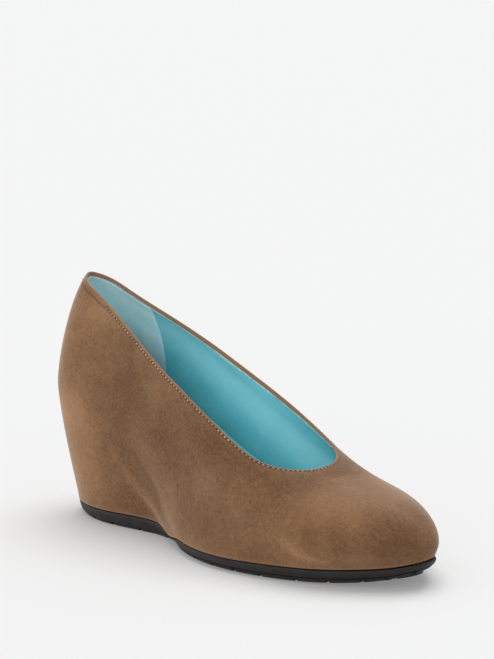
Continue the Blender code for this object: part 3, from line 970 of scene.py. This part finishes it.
def stitch_row(points, normals):
    """Vertices and faces of small threads laid end to end along a closed line on the surface."""
    points = np.vstack((points, points[:1]))
    normals = np.vstack((normals, normals[:1]))
    runs = runs_along(points)
    count = round(runs[-1] / STITCH_PITCH)
    vertices, faces = [], []
    turns = 2 * np.pi * np.arange(STITCH_SIDES) / STITCH_SIDES
    for middle in (np.arange(count) + 0.5) * runs[-1] / count:
        out = unit(values_at(middle, runs, normals))
        ahead, back = values_at((middle + STITCH_REACH, middle - STITCH_REACH), runs, points)
        along = unit(ahead - back)
        across = np.cross(out, along)
        first = len(vertices)
        centres = values_at(middle + STITCH_STEPS * STITCH_LENGTH / 2, runs, points)
        for step, centre in zip(STITCH_STEPS, centres):
            radius = STITCH_RADIUS * (1 - STITCH_TAPER * step**4)
            lifted = centre + out * (STITCH_LIFT - STITCH_DIVE * step**4)
            for turn in turns:
                vertices.append(lifted + radius * (math.cos(turn) * across + math.sin(turn) * out))
        for ring in range(len(STITCH_STEPS) - 1):
            for side in range(STITCH_SIDES):
                here = first + ring * STITCH_SIDES + side
                after = first + ring * STITCH_SIDES + (side + 1) % STITCH_SIDES
                faces.append((here, after, after + STITCH_SIDES, here + STITCH_SIDES))
        last = first + (len(STITCH_STEPS) - 1) * STITCH_SIDES
        faces.append(tuple(first + side for side in reversed(range(STITCH_SIDES))))
        faces.append(tuple(last + side for side in range(STITCH_SIDES)))
    return vertices, faces


def make_stitches(material):
    """The row of stitches below the collar's edge, darker round the heel tab."""
    row = row_below_edge(STITCH_DISTANCE)
    points = under(row, STITCH_TROUGH - STITCH_ABOVE_TROUGH)
    vertices, faces = stitch_row(points, unit(sampled(NORMALS, row)))
    piece = new_piece("topline_stitches", vertices, faces, [material])
    forward = np.array(vertices)[:, 0]
    set_tone(piece, "dark", held((DARK_THREAD_END - forward) / DARK_THREAD_FADE))


def wired(tree, kind, sockets, **settings):
    """A new shader node with its settings made and its inputs set or linked."""
    node = tree.nodes.new("ShaderNode" + kind)
    for name, value in settings.items():
        setattr(node, name, value)
    for name, value in sockets.items():
        if isinstance(value, bpy.types.NodeSocket):
            tree.links.new(value, node.inputs[name])
        else:
            node.inputs[name].default_value = value
    return node


def new_material(name, **constants):
    """A material whose shader has these constants on its own sockets."""
    material = bpy.data.materials.new(name)
    material.use_nodes = True
    tree = material.node_tree
    for key, value in constants.items():
        socket = key.replace("_", " ").title().replace("Ior", "IOR")
        tree.nodes["Principled BSDF"].inputs[socket].default_value = value
    return material, tree, wired(tree, "TexCoord", {}).outputs["Object"]


def noise(tree, place, scale, detail, roughness, distortion=0.0):
    sockets = {
        "Vector": place,
        "Scale": scale,
        "Detail": detail,
        "Roughness": roughness,
        "Distortion": distortion,
    }
    return wired(tree, "TexNoise", sockets).outputs[0]


def ranged(tree, value, low, high, to_low=0.0, to_high=1.0):
    sockets = {0: value, 1: low, 2: high, 3: to_low, 4: to_high}
    return wired(tree, "MapRange", sockets).outputs[0]


def reckoned(tree, operation, first, second):
    return wired(tree, "Math", {0: first, 1: second}, operation=operation).outputs[0]


def weighted(tree, *parts):
    """The sum of some values, each times its weight."""
    total = None
    for value, weight in parts:
        part = reckoned(tree, "MULTIPLY", value, weight)
        total = part if total is None else reckoned(tree, "ADD", total, part)
    return total


def blended(tree, share, first, second, mode="MIX"):
    """The second colour laid over the first by a share."""
    first = (*first, 1) if isinstance(first, tuple) else first
    second = (*second, 1) if isinstance(second, tuple) else second
    node = wired(tree, "Mix", {0: share, 6: first, 7: second}, data_type="RGBA", blend_type=mode)
    return node.outputs[2]


def kept_number(tree, name):
    """A number that the mesh keeps for each vertex."""
    return wired(tree, "Attribute", {}, attribute_name=name).outputs["Fac"]


def bumped(tree, height, strength, distance, before=None):
    sockets = {"Height": height, "Strength": strength, "Distance": distance}
    if before is not None:
        sockets["Normal"] = before
    return wired(tree, "Bump", sockets).outputs[0]


def fed(material, colour, normal, roughness=None):
    """The material with what was worked out for it linked to its shader."""
    links, inputs = material.node_tree.links, material.node_tree.nodes["Principled BSDF"].inputs
    links.new(colour, inputs["Base Color"])
    links.new(normal, inputs["Normal"])
    if roughness is not None:
        links.new(roughness, inputs["Roughness"])
    return material


def back_seam(tree, place):
    """1 on the seam up the back of the heel, below the tab, and 0 elsewhere."""
    x, y, z = wired(tree, "SeparateXYZ", {0: place}).outputs
    aside = wired(tree, "Math", {0: reckoned(tree, "ADD", y, MIDDLE[1])}, operation="ABSOLUTE").outputs[0]
    line = ranged(tree, aside, BACK_SEAM_WIDTH / 3, BACK_SEAM_WIDTH, 1, 0)
    front = BACK_SEAM_FRONT - MIDDLE[0]
    behind = ranged(tree, x, front, front + BACK_SEAM_FRONT_FADE, 1, 0)
    below = ranged(tree, z, BACK_SEAM_TOP, BACK_SEAM_TOP + BACK_SEAM_TOP_FADE, 1, 0)
    return reckoned(tree, "MULTIPLY", reckoned(tree, "MULTIPLY", line, behind), below)


def suede_material():
    """Brushed suede: nap patches with painted light and shade, fine mottling, fibres, a paler rubbed edge
    with painted light on the fold, and painted seam shadow.
    """
    material, tree, place = new_material(
        "suede",
        diffuse_roughness=0.9,
        sheen_weight=0.36,
        sheen_roughness=0.42,
        sheen_tint=(1.0, 0.86, 0.73, 1),
        specular_ior_level=0.2,
    )
    sockets = {"Vector": place, "Rotation": (0.0, 0.5, 0.0), "Scale": (1.0, 1.0, 0.55)}
    brushed = wired(tree, "Mapping", sockets).outputs[0]
    patches = noise(tree, place, 24, 4.0, 0.55, 0.6)
    smears = noise(tree, brushed, 85, 5.0, 0.6, 1.2)
    mottle = noise(tree, place, 560, 3.0, 0.6, 0.4)
    fibres = noise(tree, place, 1500, 2.0, 0.6)
    tone = weighted(tree, (patches, 0.36), (smears, 0.09), (mottle, 0.28), (fibres, 0.27))
    colour = blended(tree, ranged(tree, tone, 0.36, 0.64), SUEDE_DARK, SUEDE_PALE)
    specks = ranged(tree, noise(tree, place, 900, 1.0, 0.5), 0.72, 0.80)
    colour = blended(tree, reckoned(tree, "MULTIPLY", specks, 0.5), colour, SUEDE_SPECK)
    # Brushed nap with painted light and shade, from the folds and patches.
    nap_and_light_tone = kept_number(tree, "tone")
    colour = blended(tree, 1.0, colour, ranged(tree, nap_and_light_tone, -2, 2, 0.4, 1.6), "MULTIPLY")
    colour = blended(tree, ranged(tree, nap_and_light_tone, 0, 2, 0, 0.45), colour, SUEDE_PALE_NAP_AND_LIGHT)
    # Rubbed wear along the edges, and painted light on the fold and behind it.
    wear_and_light_share = reckoned(tree, "MULTIPLY", kept_number(tree, "edge"), 0.6)
    colour = blended(tree, wear_and_light_share, colour, SUEDE_WORN_AND_LIT)
    seam = reckoned(tree, "MULTIPLY", kept_number(tree, "seam"), 0.85)
    behind = back_seam(tree, place)
    seam = reckoned(tree, "MAXIMUM", seam, reckoned(tree, "MULTIPLY", behind, 0.6))
    colour = blended(tree, seam, colour, SEAM_SHADOW)
    nap = bumped(tree, weighted(tree, (mottle, 0.5), (smears, 0.5), (behind, -0.8)), 0.25, 0.0006)
    normal = bumped(tree, fibres, 0.35, 0.00025, nap)
    return fed(material, colour, normal, ranged(tree, mottle, 0.3, 0.7, 0.86, 0.98))


def shaded_inside(tree, colour, darkest):
    """The colour made paler by the painted light band and darker by painted shade deep inside the shoe."""
    # Painted light in the band and painted shade deep inside.
    painted_light_band = reckoned(tree, "MULTIPLY", kept_number(tree, "painted_light_band"), 0.32)
    painted_inner_shade = reckoned(tree, "MULTIPLY", kept_number(tree, "painted_inner_shade"), darkest)
    return blended(tree, painted_inner_shade, blended(tree, painted_light_band, colour, LINING_PAINTED_LIGHT), LINING_PAINTED_SHADE)


def leather_material():
    """Smooth lining leather with a fine grain, painted light and shade inside, and a low gloss."""
    material, tree, place = new_material("lining_leather", specular_ior_level=0.45)
    clouds = noise(tree, place, 45, 4.0, 0.55, 0.5)
    fine = noise(tree, place, 700, 3.0, 0.6)
    cells = wired(tree, "TexVoronoi", {"Vector": place, "Scale": 1300.0}, feature="DISTANCE_TO_EDGE")
    tone = ranged(tree, weighted(tree, (clouds, 0.7), (fine, 0.3)), 0.38, 0.62)
    colour = shaded_inside(tree, blended(tree, tone, LINING_DARK, LINING_PALE), 0.38)
    grain = bumped(tree, ranged(tree, cells.outputs[0], 0.0, 0.25), 0.16, 0.00015)
    normal = bumped(tree, fine, 0.12, 0.0003, grain)
    return fed(material, colour, normal, ranged(tree, clouds, 0.3, 0.7, 0.42, 0.58))


def nubuck_material(name, dark, pale):
    """Pale soft leather with a short nap and the painted light and shade inside, for the heel grip and the
    lining's cut edge.
    """
    material, tree, place = new_material(
        name, roughness=0.9, sheen_weight=0.25, sheen_roughness=0.5, specular_ior_level=0.2
    )
    clouds = noise(tree, place, 70, 4.0, 0.6, 0.8)
    fibres = noise(tree, place, 1100, 3.0, 0.6)
    tone = ranged(tree, weighted(tree, (clouds, 0.55), (fibres, 0.45)), 0.38, 0.62)
    colour = shaded_inside(tree, blended(tree, tone, dark, pale), 0.70)
    return fed(material, colour, bumped(tree, fibres, 0.3, 0.0003))


def rubber_material():
    """Matt black rubber, a little dusty."""
    material, tree, place = new_material("rubber", specular_ior_level=0.32)
    dust = noise(tree, place, 120, 5.0, 0.65, 0.5)
    grit = noise(tree, place, 1400, 2.0, 0.6)
    tone = ranged(tree, weighted(tree, (dust, 0.6), (grit, 0.4)), 0.35, 0.68)
    colour = blended(tree, tone, RUBBER_DARK, RUBBER_DUSTY)
    roughness = ranged(tree, dust, 0.3, 0.7, 0.5, 0.68)
    return fed(material, colour, bumped(tree, grit, 0.5, 0.0003), roughness)


def thread_material():
    """Twisted thread, darker behind the heel tab's end."""
    material, tree, place = new_material("thread", roughness=0.75, sheen_weight=0.2)
    tone = ranged(tree, noise(tree, place, 260, 3.0, 0.6), 0.35, 0.65)
    colour = blended(tree, tone, THREAD_DARK, THREAD_PALE)
    colour = blended(tree, kept_number(tree, "dark"), colour, THREAD_BEHIND)
    twist = wired(tree, "TexWave", {"Vector": place, "Scale": 900.0, "Distortion": 1.0}).outputs[1]
    return fed(material, colour, bumped(tree, twist, 0.4, 0.0001))


def cork_material():
    """Pressed cork granules for the hidden wedge."""
    material, tree, place = new_material("cork", roughness=0.85)
    cells = wired(tree, "TexVoronoi", {"Vector": place, "Scale": 420.0})
    tone = wired(tree, "SeparateColor", {0: cells.outputs["Color"]}).outputs[0]
    colour = blended(tree, tone, CORK_DARK, CORK_PALE)
    return fed(material, colour, bumped(tree, cells.outputs["Distance"], 0.3, 0.0004))


def make_floor():
    half = FLOOR_HALF_WIDTH
    corners = [(-half, -half, 0), (half, -half, 0), (half, half, 0), (-half, half, 0)]
    data = bpy.data.meshes.new("floor")
    data.from_pydata(corners, [], [(0, 1, 2, 3)])
    material, _, _ = new_material(
        "floor",
        base_color=FLOOR_COLOUR,
        roughness=0.9,
        specular_ior_level=0.1,
        emission_color=WHITE,
        emission_strength=FLOOR_GLOW,
    )
    data.materials.append(material)
    placed("floor", data)


def make_camera():
    data = bpy.data.cameras.new("camera")
    data.sensor_width = CAMERA_SENSOR
    data.lens = CAMERA_LENS
    data.clip_end = CAMERA_REACH
    camera = placed("camera", data)
    camera.location = CAMERA_PLACE
    camera.rotation_euler = (Vector(CAMERA_TARGET) - camera.location).to_track_quat("-Z", "Y").to_euler()
    bpy.context.scene.camera = camera


def make_sun(name, strength, width, direction):
    data = bpy.data.lights.new(name, "SUN")
    data.energy = strength
    data.angle = math.radians(width)
    light = placed(name, data)
    light.rotation_euler = Vector(direction).to_track_quat("Z", "Y").to_euler()
    return light


def make_light():
    """A pale room that is brightest at the horizon, like the floor, with soft light from three sides."""
    world = bpy.data.worlds.new("studio")
    world.use_nodes = True
    tree = world.node_tree
    direction = wired(tree, "TexCoord", {}).outputs["Generated"]
    height = wired(tree, "SeparateXYZ", {0: direction}).outputs[2]
    strength = ranged(tree, height, HORIZON_HEIGHT, ROOM_HEIGHT, HORIZON_LIGHT, ROOM_LIGHT)
    tree.links.new(strength, tree.nodes["Background"].inputs["Strength"])
    tree.nodes["Background"].inputs["Color"].default_value = WHITE
    bpy.context.scene.world = world
    for *settings, lights_floor in SUNS["rows"]:
        light = make_sun(*settings)
        if not lights_floor:
            light.light_linking.receiver_collection = PIECES
    bpy.context.scene.view_settings.view_transform = "Standard"


def main():
    make_camera()
    make_light()
    make_floor()
    leather = leather_material()
    make_suede(suede_material())
    make_lining(leather, nubuck_material("cut_edge", CUT_EDGE_DARK, CUT_EDGE_PALE))
    make_heel_grip(nubuck_material("grip_suede", GRIP_DARK, GRIP_PALE))
    make_footbed(leather)
    make_outsole(rubber_material())
    make_stitches(thread_material())
    cork = cork_material()
    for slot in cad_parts["wedge"].material_slots:
        slot.material = cork


main()
